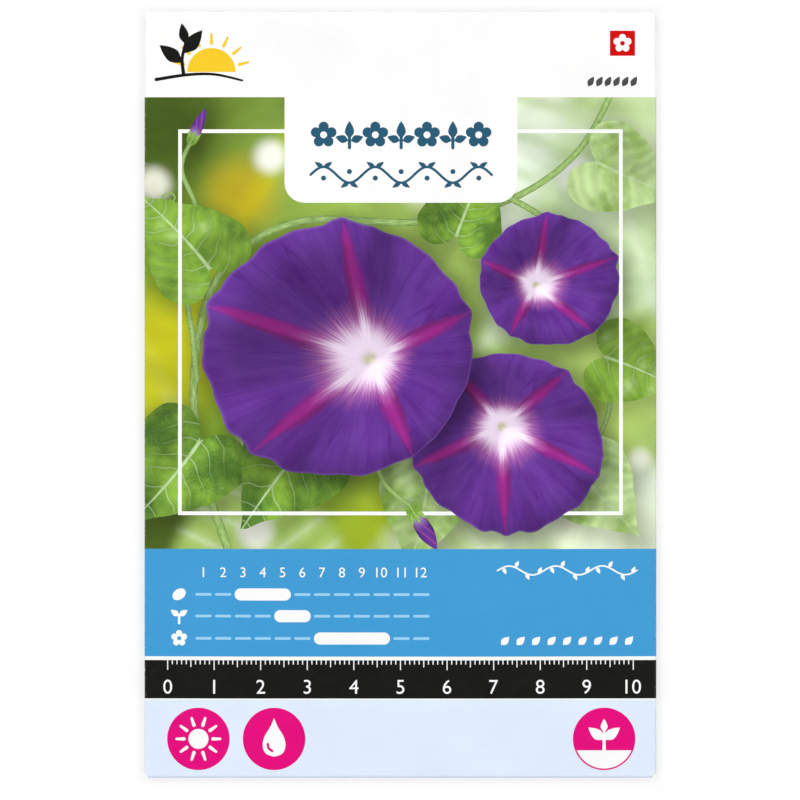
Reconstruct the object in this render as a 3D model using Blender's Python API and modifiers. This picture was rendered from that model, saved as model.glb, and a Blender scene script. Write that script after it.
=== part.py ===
"""Sealed paper seed packet: one folded sheet, its three glue lines and the seeds inside.

Run with: blender --background --python part.py

The packet lies on its back. X runs across it, Y up its front and Z out of the front, in metres.
The origin is under the middle of the packet, on the surface that it lies on.
"""

import math
import random

import bmesh
import bpy
from mathutils import Matrix, Vector

# Driving dimensions of the packet
PACKET_WIDTH = 0.110
PACKET_HEIGHT = 0.165
PAPER_THICKNESS = 0.00015
GLUE_THICKNESS = 0.00010
GLUE_CLEARANCE = 0.00005
INNER_FOLD_RADIUS = 0.00025
FLAP_LIFT = 0.00035

# How far the filled packet swells: the front outwards, the back down onto the table
FRONT_BULGE = 0.0026
BACK_BULGE = 0.0007

# The blank: a tab hidden inside the side seam, and a flap glued over the back at each end
TAB_WIDTH = 0.012
BOTTOM_FLAP_DEPTH = 0.015
TOP_FLAP_DEPTH = 0.021
FLAP_TAPER = 0.006
SEAM_INSET = 0.0022
END_TRIM = 0.0011

# Heights of the print's bands on the front, from the bottom edge up
PALE_BAND = 0.0169
BLACK_BAND = 0.0083
BLUE_BAND = 0.0234
PICTURE = 0.0971

# The seeds: wedges with a round back and two flat sides
SEED_COUNT = 36
SEED_LENGTH = 0.0050
SEED_WIDTH = 0.0036
SEED_HEIGHT = 0.0034
SEED_RIDGE = 0.0009
SEED_SIDE_TILT = math.radians(52)
SEED_CLEARANCE = 0.0003
SEED_SPACING = 0.0063
SEED_SPREAD = (0.030, 0.021)
SEED_CENTRE_Y = -0.026
RANDOM_SEED = 7

# Number of faces along each stretch of the sheet
ACROSS_FRONT = 16
UP_PACKET = 24
ROUND_FOLD = 6
ACROSS_TAB = 2
UP_FLAP = 3

# Heights of the sheet's middle surface, from the lowest layer to the front
LAP = PAPER_THICKNESS + GLUE_THICKNESS + 2 * GLUE_CLEARANCE
FLAP_LEVEL = PAPER_THICKNESS / 2 + FLAP_LIFT
BACK_LEVEL = FLAP_LEVEL + LAP
TAB_LEVEL = BACK_LEVEL + LAP
FRONT_LEVEL = TAB_LEVEL + 2 * INNER_FOLD_RADIUS

# Fold radii of the middle surface: tab side, back side, and round both ends
TAB_FOLD = (FRONT_LEVEL - TAB_LEVEL) / 2
BACK_FOLD = (FRONT_LEVEL - BACK_LEVEL) / 2
END_FOLD = (FRONT_LEVEL - FLAP_LEVEL) / 2

# Where the flat front ends and each fold begins
LEFT_EDGE = -PACKET_WIDTH / 2 + TAB_FOLD + PAPER_THICKNESS / 2
RIGHT_EDGE = PACKET_WIDTH / 2 - BACK_FOLD - PAPER_THICKNESS / 2
END_EDGE = PACKET_HEIGHT / 2 - END_FOLD - PAPER_THICKNESS / 2
FRONT_MIDDLE = (LEFT_EDGE + RIGHT_EDGE) / 2
FRONT_HALF = (RIGHT_EDGE - LEFT_EDGE) / 2

COLOURS = {
    "paper_white": (0.93, 0.93, 0.92),
    "print_pale_blue": (0.74, 0.84, 0.95),
    "print_black": (0.012, 0.013, 0.011),
    "print_blue": (0.062, 0.35, 0.68),
    "print_picture": (0.16, 0.27, 0.07),
    "glue": (0.80, 0.76, 0.62),
    "seed_coat": (0.035, 0.022, 0.016),
}


def lerp(start, end, share):
    return start + (end - start) * share


def ease(share):
    """0 to 1 with no slope at either end."""
    share = min(1.0, max(0.0, share))
    return share * share * (3 - 2 * share)


def front_height(x, y):
    """Height of the front's middle surface: flat at the glued ends, fullest over the seeds."""
    across = max(0.0, 1 - abs((x - FRONT_MIDDLE) / FRONT_HALF) ** 2.4)
    from_bottom = ease((y + END_EDGE) / 0.045)
    from_top = ease((END_EDGE - y) / 0.115)
    return FRONT_LEVEL + FRONT_BULGE * across * from_bottom * from_top


def back_height(x, y):
    """Height of the back's middle surface: it sinks from its edges to a flat spot on the table."""
    from_side = ease((FRONT_HALF - TAB_WIDTH - abs(x)) / 0.018)
    from_bottom = ease((y + END_EDGE - BOTTOM_FLAP_DEPTH) / 0.016)
    from_top = ease((END_EDGE - TOP_FLAP_DEPTH - y) / 0.020)
    return BACK_LEVEL - BACK_BULGE * from_side * from_bottom * from_top


def material(name, roughness):
    made = bpy.data.materials.new(name)
    made.use_nodes = True
    shader = made.node_tree.nodes["Principled BSDF"]
    shader.inputs["Base Color"].default_value = (*COLOURS[name], 1)
    shader.inputs["Roughness"].default_value = roughness
    shader.inputs["Metallic"].default_value = 0
    made.diffuse_color = (*COLOURS[name], 1)
    return made


def add_panel(bm, across, along, place):
    """Adds a grid of faces to the sheet; place turns its two shares, each 0 to 1, into a point."""
    panel = bmesh.ops.create_grid(bm, x_segments=across, y_segments=along, size=0.5)
    for vertex in panel["verts"]:
        vertex.co = Vector(place(vertex.co.x + 0.5, vertex.co.y + 0.5))


def add_front(bm):
    def place(u, v):
        x = lerp(LEFT_EDGE, RIGHT_EDGE, u)
        y = lerp(-END_EDGE, END_EDGE, v)
        return x, y, front_height(x, y)

    add_panel(bm, ACROSS_FRONT, UP_PACKET, place)


def add_side(bm, edge, radius, outward, free_edge, columns, lift):
    """Adds one side fold and the panel behind it, which ends at x = free_edge."""

    def place_fold(u, v):
        angle = math.pi * u
        y = lerp(-END_EDGE, END_EDGE, v) * (1 - u * END_TRIM / END_EDGE)
        x = edge + outward * radius * math.sin(angle)
        return x, y, FRONT_LEVEL - radius * (1 - math.cos(angle))

    def place_panel(u, v):
        x = lerp(edge, free_edge, u)
        y = lerp(-END_EDGE, END_EDGE, v) * (1 - END_TRIM / END_EDGE)
        return x, y, back_height(x, y) + lift

    add_panel(bm, ROUND_FOLD, UP_PACKET, place_fold)
    add_panel(bm, columns, UP_PACKET, place_panel)


def add_end(bm, side, depth):
    """Adds the fold round one end of the packet and the tapered flap glued over the back."""

    def across(u, taper):
        return lerp(LEFT_EDGE + taper, RIGHT_EDGE - taper, u)

    def place_fold(u, v):
        angle = math.pi * v
        y = side * (END_EDGE + END_FOLD * math.sin(angle))
        return across(u, 0.001 * v), y, FRONT_LEVEL - END_FOLD * (1 - math.cos(angle))

    def place_flap(u, v):
        x = across(u, lerp(0.001, FLAP_TAPER, v))
        y = side * (END_EDGE - depth * v)
        return x, y, back_height(x, y) - LAP

    add_panel(bm, ACROSS_FRONT, ROUND_FOLD, place_fold)
    add_panel(bm, ACROSS_FRONT, UP_FLAP, place_flap)


def paint_bands(mesh):
    """Gives each face of the front its band of print. Every other face stays paper white."""
    bottom = -PACKET_HEIGHT / 2
    bands = (
        ("print_pale_blue", PALE_BAND),
        ("print_black", BLACK_BAND),
        ("print_blue", BLUE_BAND),
        ("print_picture", PICTURE),
    )
    for number, (name, height) in enumerate(bands, start=1):
        mesh.materials.append(material(name, 0.42))
        for face in mesh.polygons:
            on_front = face.center.z >= FRONT_LEVEL - 1e-6
            if on_front and bottom <= face.center.y < bottom + height:
                face.material_index = number
        bottom += height


def thicken(thing, thickness):
    """Turns a single-layer surface into a solid sheet, both faces of it split into like triangles."""
    thing.modifiers.new("Triangulate", "TRIANGULATE")
    solidify = thing.modifiers.new("Solidify", "SOLIDIFY")
    solidify.thickness = thickness
    solidify.offset = 0
    solidify.use_even_offset = True


def new_object(name, mesh, collection):
    thing = bpy.data.objects.new(name, mesh)
    collection.objects.link(thing)
    return thing


def make_envelope(collection):
    """The packet itself: front, side folds, tab, back and both end flaps, all in one sheet."""
    bm = bmesh.new()
    add_front(bm)
    add_side(bm, LEFT_EDGE, TAB_FOLD, -1, LEFT_EDGE + TAB_WIDTH, ACROSS_TAB, LAP)
    add_side(bm, RIGHT_EDGE, BACK_FOLD, 1, LEFT_EDGE + SEAM_INSET, ACROSS_FRONT, 0)
    add_end(bm, -1, BOTTOM_FLAP_DEPTH)
    add_end(bm, 1, TOP_FLAP_DEPTH)
    bmesh.ops.remove_doubles(bm, verts=bm.verts, dist=1e-6)
    bmesh.ops.recalc_face_normals(bm, faces=bm.faces)
    mesh = bpy.data.meshes.new("paper_envelope")
    bm.to_mesh(mesh)
    bm.free()
    mesh.materials.append(material("paper_white", 0.5))
    paint_bands(mesh)
    mesh.shade_smooth()
    mesh.set_sharp_from_angle(angle=math.radians(40))
    envelope = new_object("paper_envelope", mesh, collection)
    thicken(envelope, PAPER_THICKNESS)
    return envelope


def make_glue_line(name, corner, opposite, lift, columns, rows, collection):
    """A thin strip of glue between two layers, following the back at a height of lift from it."""
    bm = bmesh.new()

    def place(u, v):
        x = lerp(corner[0], opposite[0], u)
        y = lerp(corner[1], opposite[1], v)
        return x, y, back_height(x, y) + lift

    add_panel(bm, columns, rows, place)
    mesh = bpy.data.meshes.new(name)
    bm.to_mesh(mesh)
    bm.free()
    mesh.materials.append(bpy.data.materials.get("glue") or material("glue", 0.35))
    strip = new_object(name, mesh, collection)
    thicken(strip, GLUE_THICKNESS)


def make_glue_lines(collection):
    """Glue under the side seam, inside, and under the flap at each end."""
    seam_left = LEFT_EDGE + SEAM_INSET + 0.0016
    seam_right = LEFT_EDGE + TAB_WIDTH - 0.0016
    seam_end = END_EDGE - 0.006
    make_glue_line(
        "side_seam_glue", (seam_left, -seam_end), (seam_right, seam_end), LAP / 2, 2, 22, collection
    )
    for name, side, depth in (("bottom_flap_glue", -1, BOTTOM_FLAP_DEPTH), ("top_flap_glue", 1, TOP_FLAP_DEPTH)):
        near = side * (END_EDGE - depth + 0.002)
        far = side * (END_EDGE - depth + 0.009)
        reach = RIGHT_EDGE - FLAP_TAPER - 0.003
        make_glue_line(name, (-reach, near), (reach, far), -LAP / 2, 16, 2, collection)


def cut_flat_side(bm, normal):
    """Slices one flat side off the seed through its ridge, and closes the cut."""
    cut = bmesh.ops.bisect_plane(
        bm,
        geom=bm.verts[:] + bm.edges[:] + bm.faces[:],
        plane_co=(0, 0, -SEED_RIDGE),
        plane_no=normal,
        clear_outer=True,
    )
    rim = [item for item in cut["geom_cut"] if isinstance(item, bmesh.types.BMEdge)]
    bmesh.ops.contextual_create(bm, geom=rim)


def make_seed_mesh():
    """A seed with its long axis on X, its round back up and its two flat sides meeting below."""
    bm = bmesh.new()
    bmesh.ops.create_uvsphere(bm, u_segments=10, v_segments=6, radius=0.5)
    lie_down = Matrix.Rotation(math.pi / 2, 4, "Y")
    stretch = Matrix.Diagonal((SEED_LENGTH, SEED_WIDTH, SEED_HEIGHT, 1))
    bmesh.ops.transform(bm, matrix=stretch @ lie_down, verts=bm.verts)
    for side in (-1, 1):
        cut_flat_side(bm, (0, side * math.sin(SEED_SIDE_TILT), -math.cos(SEED_SIDE_TILT)))
    bmesh.ops.recalc_face_normals(bm, faces=bm.faces)
    mesh = bpy.data.meshes.new("seed")
    bm.to_mesh(mesh)
    bm.free()
    mesh.materials.append(material("seed_coat", 0.75))
    mesh.shade_smooth()
    mesh.set_sharp_from_angle(angle=math.radians(35))
    return mesh


def scatter(rng):
    """Places for the seeds in an oval low in the packet, no two nearer than the seed spacing."""
    places = []
    while len(places) < SEED_COUNT:
        angle = rng.uniform(0, 2 * math.pi)
        share = math.sqrt(rng.random())
        x = SEED_SPREAD[0] * share * math.cos(angle)
        y = SEED_CENTRE_Y + SEED_SPREAD[1] * share * math.sin(angle)
        if all(math.dist((x, y), other) > SEED_SPACING for other in places):
            places.append((x, y))
    return sorted(places)


def make_seeds(collection):
    """Loose seeds, each lying on one of its flat sides on the inside of the back."""
    rng = random.Random(RANDOM_SEED)
    mesh = make_seed_mesh()
    drop = SEED_RIDGE * math.cos(SEED_SIDE_TILT)
    for number, (x, y) in enumerate(scatter(rng), start=1):
        seed = new_object(f"seed_{number:02d}", mesh, collection)
        floor = back_height(x, y) + PAPER_THICKNESS / 2 + SEED_CLEARANCE
        turn = Matrix.Rotation(rng.uniform(0, 2 * math.pi), 4, "Z")
        onto_flat_side = Matrix.Rotation(rng.choice((-1, 1)) * SEED_SIDE_TILT, 4, "X")
        seed.matrix_world = Matrix.Translation((x, y, floor + drop)) @ turn @ onto_flat_side


def main():
    for thing in list(bpy.data.objects):
        bpy.data.objects.remove(thing)
    collection = bpy.data.collections.new("seed_packet")
    bpy.context.scene.collection.children.link(collection)
    make_envelope(collection)
    make_glue_lines(collection)
    make_seeds(collection)


main()
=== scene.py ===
"""Looks of the seed packet: its printed sheet, its glue and seeds, and the light table that it lies on.

The print is drawn flat on the unfolded sheet, in millimetres, x across the front and y up it. Past the right
fold x runs on over the back. Every motif is a closed outline, and they are painted in order, the last on top.
One triangulation of all the outlines becomes the sheet: it is folded onto the places that the CAD model
gives, and each triangle wears the ink of the topmost motif over it. The inks' own detail, such as veins and
petal bands, is in their shader nodes, which read where in its motif each point lies from the "art" attribute.
"""

import math
from dataclasses import dataclass
from typing import Callable

import bpy
import numpy as np
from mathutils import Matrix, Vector
from mathutils.geometry import delaunay_2d_cdt, interpolate_bezier


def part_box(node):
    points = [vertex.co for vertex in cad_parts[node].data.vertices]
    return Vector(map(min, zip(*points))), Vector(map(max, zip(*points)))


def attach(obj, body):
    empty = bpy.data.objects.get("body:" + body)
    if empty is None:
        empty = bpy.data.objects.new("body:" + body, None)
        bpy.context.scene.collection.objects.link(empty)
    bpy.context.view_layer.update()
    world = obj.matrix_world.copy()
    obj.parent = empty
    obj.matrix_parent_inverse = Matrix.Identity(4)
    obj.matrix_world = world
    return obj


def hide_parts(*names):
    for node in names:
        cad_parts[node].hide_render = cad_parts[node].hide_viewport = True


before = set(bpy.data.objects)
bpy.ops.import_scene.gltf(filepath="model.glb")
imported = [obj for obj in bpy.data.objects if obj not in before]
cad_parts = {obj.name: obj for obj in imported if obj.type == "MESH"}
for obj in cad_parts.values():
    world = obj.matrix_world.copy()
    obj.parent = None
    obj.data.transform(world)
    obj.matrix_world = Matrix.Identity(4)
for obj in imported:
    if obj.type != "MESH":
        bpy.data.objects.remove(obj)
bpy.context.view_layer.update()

MM = 0.001
TAU = 2 * math.pi

# The sheet, in millimetres, as the CAD model folds it
HALF_WIDTH, HALF_HEIGHT, HIGHEST = (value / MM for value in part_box("paper_envelope")[1])
PAPER = 0.15
LAP = 0.35
FLAP_LEVEL = 0.425
BACK_LEVEL = FLAP_LEVEL + LAP
TAB_LEVEL = BACK_LEVEL + LAP
FRONT_LEVEL = TAB_LEVEL + 0.5
TAB_FOLD = (FRONT_LEVEL - TAB_LEVEL) / 2
BACK_FOLD = (FRONT_LEVEL - BACK_LEVEL) / 2
END_FOLD = (FRONT_LEVEL - FLAP_LEVEL) / 2
LEFT = -HALF_WIDTH + TAB_FOLD + PAPER / 2
RIGHT = HALF_WIDTH - BACK_FOLD - PAPER / 2
END = HALF_HEIGHT - END_FOLD - PAPER / 2
MIDDLE = (LEFT + RIGHT) / 2
HALF_FRONT = (RIGHT - LEFT) / 2
FRONT_BULGE = HIGHEST - PAPER / 2 - FRONT_LEVEL
BACK_BULGE = BACK_LEVEL - PAPER / 2
TAB_WIDTH = 12
SEAM_INSET = 2.2
END_TRIM = 1.1
BOTTOM_FLAP = 15
TOP_FLAP = 21
FLAP_TAPER = 6
# Heights of the front's unevenness
BUCKLE = 0.16
SEED_PRESS = 0.20
CORNER_SPOKE = 0.20
FLAP_STEP = 0.09

# Bands of the front's print, from the bottom edge up
FOOT_TOP = -HALF_HEIGHT + 16.9
RULE_TOP = FOOT_TOP + 0.25
BLACK_TOP = RULE_TOP + 8.25
LINE_TOP = BLACK_TOP + 0.8
BLUE_TOP = LINE_TOP + 23.1
PICTURE_TOP = BLUE_TOP + 97.0
BLEED = 3.4
BLEED_EDGE = HALF_WIDTH + BLEED

# The camera looks straight down on the photo's own frame
PHOTO_WIDTH = 171.9
PHOTO_CENTRE = (-0.1, -1.25)
LENS = 200
SENSOR = 36

# Inks and surfaces, as linear red, green and blue
INKS = {
    "paper": (0.890, 0.890, 0.885),
    "ink_pale_blue": (0.69, 0.775, 0.90),
    "ink_blue": (0.049, 0.310, 0.617),
    "ink_black": (0.0062, 0.0066, 0.0050),
    "ink_teal": (0.019, 0.095, 0.163),
    "ink_magenta": (0.72, 0.0006, 0.19),
    "ink_red": (0.59, 0.0004, 0.0008),
    "ink_grey": (0.067, 0.067, 0.067),
    "ink_yellow": (0.86, 0.56, 0.02),
    "ink_sky": (0.30, 0.60, 0.83),
    "ink_green": (0.13, 0.30, 0.045),
    "ink_soil": (0.15, 0.085, 0.045),
    "ink_purple": (0.108, 0.030, 0.255),
}
GARDEN_GREENS = {
    "dark": (0.050, 0.090, 0.010),
    "leaf": (0.20, 0.335, 0.028),
    "lime": (0.40, 0.52, 0.02),
    "yellow": (0.50, 0.50, 0.012),
    "amber": (0.58, 0.40, 0.008),
    "soft": (0.38, 0.55, 0.16),
    "mint": (0.53, 0.68, 0.41),
    "pale": (0.73, 0.83, 0.71),
    "white": (0.88, 0.90, 0.86),
}


# Sums on arrays of points


def smoothstep(low, high, value):
    """0 below low, 1 above high, and a smooth rise between."""
    share = np.clip((value - low) / (high - low), 0, 1)
    return share * share * (3 - 2 * share)


def unit(vectors):
    return vectors / np.maximum(np.linalg.norm(vectors, axis=1), 1e-12)[:, None]


def arc(start, end, count, endpoint=True):
    """Points on the circle of radius 1 between two angles in degrees."""
    turn = np.radians(np.linspace(start, end, count, endpoint=endpoint))
    return np.stack([np.cos(turn), np.sin(turn)], 1)


def way(angle):
    """The step of length 1 that points at an angle in degrees."""
    return arc(angle, angle, 1)[0]


def turned(points, angle):
    """points turned anticlockwise about the origin."""
    c, s = math.cos(angle), math.sin(angle)
    return np.stack([c * points[:, 0] - s * points[:, 1], s * points[:, 0] + c * points[:, 1]], 1)


def place(points, size, angle, centre):
    """An outline enlarged, turned by an angle in degrees and moved to its place in the print."""
    return turned(np.asarray(points, float) * size, math.radians(angle)) + centre


def unplace(size, angle, centre):
    """The way back from a place in the print to a motif's own coordinates."""
    return lambda points: turned(points - np.asarray(centre), -math.radians(angle)) / size


def smooth_line(points, steps):
    """A smooth curve through the points, with that many steps between each pair."""
    points = np.asarray(points, float)
    padded = np.concatenate([points[:1], points, points[-1:]])
    t = np.arange(steps)[:, None] / steps
    found = []
    for i in range(len(points) - 1):
        a, b, c, d = padded[i : i + 4]
        bend = t**2 * (a - 2.5 * b + 2 * c - d / 2) + t**3 * (-a + 3 * b - 3 * c + d) / 2
        found.append(b + t * (c - a) / 2 + bend)
    return np.concatenate(found + [points[-1:]])


def mirrored(points, steps):
    """The outline whose right half runs smoothly through the points, and whose left half mirrors it."""
    half = smooth_line(points, steps)
    return np.concatenate([half, (half * (-1, 1))[-2:0:-1]])


def nearest_on(points, line, closed=False):
    """For each point: its distance to a line, how far along the line that is (0 to 1), and on which side."""
    start = line if closed else line[:-1]
    step = (np.roll(line, -1, 0) if closed else line[1:]) - start
    offset = points[:, None, :] - start[None]
    share = np.clip((offset * step).sum(2) / np.maximum((step**2).sum(1), 1e-12), 0, 1)
    gap = offset - share[..., None] * step
    distance = np.hypot(gap[..., 0], gap[..., 1])
    best = distance.argmin(1)
    row = np.arange(len(points))
    cross = step[best, 0] * offset[row, best, 1] - step[best, 1] * offset[row, best, 0]
    return distance[row, best], (best + share[row, best]) / len(step), np.sign(cross)


def inside(points, outline):
    """Which points an outline holds."""
    x, y = points[:, :1], points[:, 1:]
    x1, y1 = outline.T
    x2, y2 = np.roll(outline, -1, 0).T
    rise = np.where(y2 == y1, 1, y2 - y1)
    crossed = ((y1 > y) != (y2 > y)) & (x < (x2 - x1) * (y - y1) / rise + x1)
    return crossed.sum(1) % 2 == 1


def outside_by(points, outline):
    """How far each point lies outside an outline, and less than 0 inside it."""
    distance = nearest_on(points, outline, closed=True)[0]
    return np.where(inside(points, outline), -distance, distance)


# How the sheet folds


def seed_places():
    """The middle of each seed, as seen from above."""
    boxes = [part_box(name) for name in sorted(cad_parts) if name.startswith("seed_")]
    return [((low[0] + high[0]) / 2 / MM, (low[1] + high[1]) / 2 / MM) for low, high in boxes]


SEEDS = seed_places()


def front_relief(x, y):
    """Small unevenness of the filled front: soft buckles, seeds pressing through, and the flaps' edges."""
    across = 1 - np.abs((x - MIDDLE) / HALF_FRONT) ** 4
    along = 1 - np.abs(y / END) ** 6
    relief = BUCKLE * np.sin(x / 7.5 + 1.3 * np.sin(y / 19)) * np.sin(y / 11 + 0.8)
    pressed = sum(np.exp(-((x - seed_x) ** 2 + (y - seed_y) ** 2) / 7.5) for seed_x, seed_y in SEEDS)
    relief = relief + SEED_PRESS * np.tanh(pressed)
    for side_x, side_y in ((-1, -1), (-1, 1), (1, -1), (1, 1)):
        dx = HALF_FRONT - side_x * (x - MIDDLE)
        dy = END - side_y * y
        away = np.hypot(dx, dy)
        spokes = np.cos(9 * np.arctan2(dy, dx) + side_x)
        relief = relief + CORNER_SPOKE * spokes * smoothstep(5, 16, away) * smoothstep(38, 16, away)
    flaps = smoothstep(0.5, -0.5, y + END - BOTTOM_FLAP) + smoothstep(-0.5, 0.5, y - END + TOP_FLAP)
    return across * (along * relief + FLAP_STEP * flaps * smoothstep(0, 2, END - np.abs(y)))


def front_height(x, y):
    """Height of the front's middle surface, fullest over the seeds."""
    across = np.maximum(0, 1 - np.abs((x - MIDDLE) / HALF_FRONT) ** 2.4)
    bulge = across * smoothstep(0, 45, y + END) * smoothstep(0, 115, END - y)
    return FRONT_LEVEL + FRONT_BULGE * bulge + front_relief(x, y)


def back_height(x, y):
    """Height of the back's middle surface, which sinks to a flat spot on the table."""
    from_side = smoothstep(0, 18, HALF_FRONT - TAB_WIDTH - np.abs(x))
    from_bottom = smoothstep(0, 16, y + END - BOTTOM_FLAP)
    from_top = smoothstep(0, 20, END - TOP_FLAP - y)
    return BACK_LEVEL - BACK_BULGE * from_side * from_bottom * from_top


def round_fold(beyond, radius):
    """How far out and down a point is, beyond millimetres past where a fold begins."""
    angle = np.clip(beyond / radius, 0, math.pi)
    past = np.maximum(beyond - math.pi * radius, 0)
    return radius * np.sin(angle) - past, radius * (1 - np.cos(angle)), past > 0


def fold_front(x, y):
    return x, y, front_height(x, y)


def fold_left(x, y):
    out, down, flat = round_fold(LEFT - x, TAB_FOLD)
    return LEFT - out, y, np.where(flat, back_height(LEFT - out, y) + LAP, FRONT_LEVEL - down)


def fold_right(x, y):
    out, down, flat = round_fold(x - RIGHT, BACK_FOLD)
    return RIGHT + out, y, np.where(flat, back_height(RIGHT + out, y), FRONT_LEVEL - down)


def fold_end(x, y):
    out, down, flat = round_fold(np.abs(y) - END, END_FOLD)
    y = np.sign(y) * (END + out)
    return x, y, np.where(flat, back_height(x, y) - LAP, FRONT_LEVEL - down)


@dataclass
class Panel:
    """A part of the unfolded sheet, with the function that folds it into place."""

    outline: list
    fold: Callable


TAB_CREST = LEFT - math.pi * TAB_FOLD
BACK_CREST = RIGHT + math.pi * BACK_FOLD
END_CREST = END + math.pi * END_FOLD
BACK_FREE = BACK_CREST + RIGHT - LEFT - SEAM_INSET


def end_outline(side, depth):
    """Outline of an end fold and its tapered flap."""
    inset = ((0, END), (1, END_CREST), (FLAP_TAPER, END_CREST + depth))
    right = [(RIGHT - trim, side * y) for trim, y in inset]
    return right + [(LEFT + trim, side * y) for trim, y in reversed(inset)]


def side_outline(edge, crest, free):
    """Outline of a side fold and the panel behind it."""
    short = END - END_TRIM
    return [(edge, -END), (crest, -short), (free, -short), (free, short), (crest, short), (edge, END)]


PANELS = [
    Panel([(LEFT, -END), (RIGHT, -END), (RIGHT, END), (LEFT, END)], fold_front),
    Panel(side_outline(LEFT, TAB_CREST, TAB_CREST - TAB_WIDTH), fold_left),
    Panel(side_outline(RIGHT, BACK_CREST, BACK_FREE), fold_right),
    Panel(end_outline(-1, BOTTOM_FLAP), fold_end),
    Panel(end_outline(1, TOP_FLAP), fold_end),
]
# The front and the back are two pieces, which meet along the crest of each fold
SPLIT_LEFT = LEFT - math.pi * TAB_FOLD / 2
SPLIT_RIGHT = RIGHT + math.pi * BACK_FOLD / 2
SPLIT_END = END + math.pi * END_FOLD / 2


# The print


@dataclass
class Motif:
    """One painted outline. to_local turns places in the print into the motif's own coordinates."""

    outline: np.ndarray
    ink: str
    to_local: Callable
    tone: float
    shadow: float
    light: Callable


LONGEST_EDGE = 1.6
motifs = []
extra_points = []
# Where the painted light comes from, and how far to the lower right and how softly a painted shadow falls
SUN = (-0.42, 0.50, 0.76)
SHADOW_FALL = (1.0, -1.3)
SHADOW_BLUR = 4.5


def divided(outline):
    """The outline with points added along its long edges, so that the sheet can bend there."""
    found = []
    for start, end in zip(outline, np.roll(outline, -1, 0)):
        steps = math.ceil(max(1, np.hypot(*(end - start)) / LONGEST_EDGE))
        found.append(start + (end - start) * np.arange(steps)[:, None] / steps)
    return np.concatenate(found)


def paint(outline, ink, to_local=None, tone=0.5, shadow=0.0, light=None):
    """Adds an outline to the print, over all the earlier ones. shadow is how dark a soft shadow it throws."""
    outline = divided(np.asarray(outline, float))
    x, y = outline.T
    # The triangulation takes an outline that runs clockwise for a hole
    if (x * np.roll(y, -1) - y * np.roll(x, -1)).sum() < 0:
        outline = outline[::-1]
    motifs.append(Motif(outline, ink, to_local or (lambda points: points), tone, shadow, light))


def grid(xs, ys):
    return np.stack(np.meshgrid(xs, ys), -1).reshape(-1, 2)


def rectangle(x0, y0, x1, y1):
    return np.array([(x0, y0), (x1, y0), (x1, y1), (x0, y1)])


def oval(centre, radius, steps=48, squash=1.0, angle=0):
    return place(arc(0, 360, steps, endpoint=False) * (1, squash), radius, angle, centre)


CORNER_POINTS = 9


def rounded(x0, y0, x1, y1, radius, corners=(1, 1, 1, 1)):
    """A rectangle with round corners, anticlockwise from the lower left; 0 in corners keeps one square."""
    found = []
    inward = rectangle(1, 1, -1, -1)
    for number, corner in enumerate(rectangle(x0, y0, x1, y1)):
        start = 180 + 90 * number
        bow = corner + radius * (inward[number] + arc(start, start + 90, CORNER_POINTS))
        found.append(bow if corners[number] else corner[None])
    return np.concatenate(found)


def ribbon(line, start_width, end_width):
    """The outline of a line drawn with a round pen, whose width may change along it."""
    line = np.asarray(line, float)
    along = unit(np.gradient(line, axis=0))
    normal = np.stack([-along[:, 1], along[:, 0]], 1)
    half = np.linspace(start_width, end_width, len(line))[:, None] / 2
    left, right = line + normal * half, line - normal * half
    turn = np.radians([45, 90, 135])[:, None]
    far = line[-1] + half[-1] * (np.cos(turn) * normal[-1] + np.sin(turn) * along[-1])
    near = line[0] + half[0] * (-np.cos(turn) * normal[0] - np.sin(turn) * along[0])
    return np.concatenate([left, far, right[::-1], near])


def stroke(line, width, ink, end_width=None):
    paint(ribbon(line, width, end_width or width), ink)


def rays(centre, count, start, pitch, near, far, width, end_width, ink):
    """Short strokes that point away from a centre, pitch degrees apart."""
    for ray in range(count):
        step = way(start + pitch * ray)
        stroke([centre + step * near, centre + step * far], width, ink, end_width)


HEART_LEAF = [
    (0, 0), (0.10, -0.13), (0.27, -0.20), (0.45, -0.12), (0.54, 0.08), (0.49, 0.32), (0.35, 0.56),
    (0.18, 0.78), (0.05, 0.96), (0, 1.04),
]


# How dark a shadow the parts of the plant throw
LEAF_SHADOW = 0.35
STEM_SHADOW = 0.15
BLOOM_SHADOW = 0.55
BUD_SHADOW = 0.3


def leaf(centre, size, angle, tone, bend):
    """A heart-shaped leaf; angle is which way its tip points, and bend curves its midrib."""
    outline = mirrored(HEART_LEAF, 5)
    ripple = 0.010 * np.sin(np.linspace(0, 26 * math.pi, len(outline)))
    outline = outline * (1 + ripple[:, None])
    outline[:, 0] += bend * outline[:, 1] ** 2
    flat = unplace(size, angle - 90, centre)

    def to_local(points):
        local = flat(points)
        local[:, 0] -= bend * local[:, 1] ** 2
        return local

    def light(points):
        """One half of the blade turns to the light and the other away from it."""
        local = to_local(points)
        toward = way(angle - 90) @ SUN[:2]
        half = np.tanh(local[:, 0] / 0.05) * (1 - 0.9 * np.abs(local[:, 0]))
        return 1 - 0.34 * toward * half - 0.10 * np.abs(local[:, 0])

    paint(place(outline, size, angle - 90, centre), "ink_leaf", to_local, tone, LEAF_SHADOW, light)


def shoot(line, start_width, end_width, drawn_end, tone, shadow):
    """A round green shoot, drawn so that it narrows to drawn_end.

    Its own coordinates are how far along it a point lies, and how far across as a share of its half width.
    """

    def to_local(places):
        distance, along, side = nearest_on(places, line)
        width = start_width + (end_width - start_width) * along
        return np.stack([along, side * distance / width * 2], 1)

    paint(ribbon(line, start_width, drawn_end), "ink_stem", to_local, tone, shadow)


def stem(points, start_width, end_width):
    shoot(smooth_line(points, 8), start_width, end_width, end_width, 0.5, STEM_SHADOW)


TENDRIL_WIDTH = 0.55


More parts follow.
